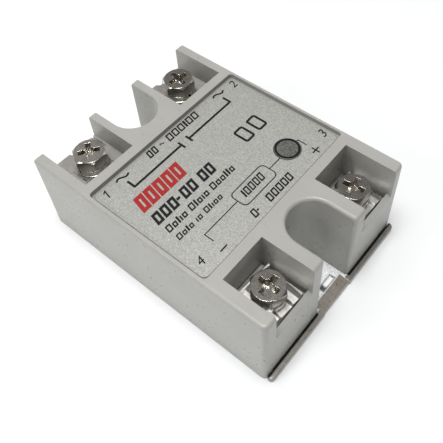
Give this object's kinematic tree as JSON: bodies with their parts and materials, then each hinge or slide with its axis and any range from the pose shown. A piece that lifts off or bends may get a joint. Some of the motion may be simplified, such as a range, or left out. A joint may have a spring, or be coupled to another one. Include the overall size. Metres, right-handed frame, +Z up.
{
  "type": "solid state relay",
  "caption": "panel-mount solid state relay: grey plastic case on a metal base plate, mounting notches at both ends, recessed screw terminals, foil label and indicator window",
  "frame": {"origin": "under the middle of the relay, on the underside of the base plate", "axes": "+X towards the control end (terminals 3 and 4), +Y towards terminals 2 and 3, +Z up, away from the heat sink"},
  "size_m": [0.0624, 0.045, 0.0222],
  "materials": {
    "housing_plastic": "fine moulded grain",
    "plate_metal": "nickel-plated",
    "label_foil": "speckled silver foil",
    "smoky_plastic": "smoky and clear",
    "red_epoxy": "clear red",
    "tinned_metal": "tinned",
    "nickel_plating": "nickel-plated steel",
    "board_laminate": "glass-fibre laminate",
    "black_epoxy": "moulded epoxy",
    "capacitor_coating": "dipped coating",
    "resistor_coating": "lacquered",
    "alumina": "fired",
    "copper": "bare copper",
    "potting": "cast epoxy"
  },
  "bodies": {
    "relay": {"base_plate": "plate_metal", "ceramic_insulator": "alumina", "circuit_board": "board_laminate", "contact_plate_1": "nickel_plating", "contact_plate_2": "nickel_plating", "contact_plate_3": "nickel_plating", "contact_plate_4": "nickel_plating", "foil_label": "label_foil", "gate_thyristor": "black_epoxy", "housing": "housing_plastic", "indicator_led": "red_epoxy", "indicator_led_legs": "tinned_metal", "indicator_window": "smoky_plastic", "input_transistor": "black_epoxy", "load_strap_1": "copper", "load_strap_2": "copper", "optocoupler": "black_epoxy", "potting_compound": "potting", "resistors": "resistor_coating", "snubber_capacitor": "capacitor_coating", "terminal_nuts": "nickel_plating", "triac_case": "black_epoxy", "triac_leads": "tinned_metal", "triac_tab": "copper"},
    "washers_1": {"plain_washer_1": "nickel_plating", "spring_washer_1": "nickel_plating"},
    "screw_1": {"terminal_screw_1": "nickel_plating"},
    "washers_2": {"plain_washer_2": "nickel_plating", "spring_washer_2": "nickel_plating"},
    "screw_2": {"terminal_screw_2": "nickel_plating"},
    "washers_3": {"wire_clamp_3": "nickel_plating", "spring_washer_3": "nickel_plating"},
    "screw_3": {"terminal_screw_3": "nickel_plating"},
    "washers_4": {"wire_clamp_4": "nickel_plating", "spring_washer_4": "nickel_plating"},
    "screw_4": {"terminal_screw_4": "nickel_plating"}
  },
  "joints": [
    {"name": "screw_lift_1", "type": "slide", "parent": "relay", "child": "washers_1", "axis": [0, 0, 1], "range_m": [0, 0.0035]},
    {"name": "screw_turn_1", "type": "hinge", "parent": "washers_1", "child": "screw_1", "pos_m": [-0.0231, -0.0136, 0.018], "axis": [0, 0, 1], "range_deg": [0, 1800]},
    {"name": "screw_lift_2", "type": "slide", "parent": "relay", "child": "washers_2", "axis": [0, 0, 1], "range_m": [0, 0.0035]},
    {"name": "screw_turn_2", "type": "hinge", "parent": "washers_2", "child": "screw_2", "pos_m": [-0.0231, 0.0136, 0.018], "axis": [0, 0, 1], "range_deg": [0, 1800]},
    {"name": "screw_lift_3", "type": "slide", "parent": "relay", "child": "washers_3", "axis": [0, 0, 1], "range_m": [0, 0.0035]},
    {"name": "screw_turn_3", "type": "hinge", "parent": "washers_3", "child": "screw_3", "pos_m": [0.024, 0.01395, 0.018], "axis": [0, 0, 1], "range_deg": [0, 1800]},
    {"name": "screw_lift_4", "type": "slide", "parent": "relay", "child": "washers_4", "axis": [0, 0, 1], "range_m": [0, 0.0035]},
    {"name": "screw_turn_4", "type": "hinge", "parent": "washers_4", "child": "screw_4", "pos_m": [0.024, -0.01395, 0.018], "axis": [0, 0, 1], "range_deg": [0, 1800]}
  ],
  "couplings": [
    {"joint": "screw_turn_1", "follows": "screw_lift_1", "rad_per_m": 8976},
    {"joint": "screw_turn_2", "follows": "screw_lift_2", "rad_per_m": 8976},
    {"joint": "screw_turn_3", "follows": "screw_lift_3", "rad_per_m": 8976},
    {"joint": "screw_turn_4", "follows": "screw_lift_4", "rad_per_m": 8976}
  ]
}
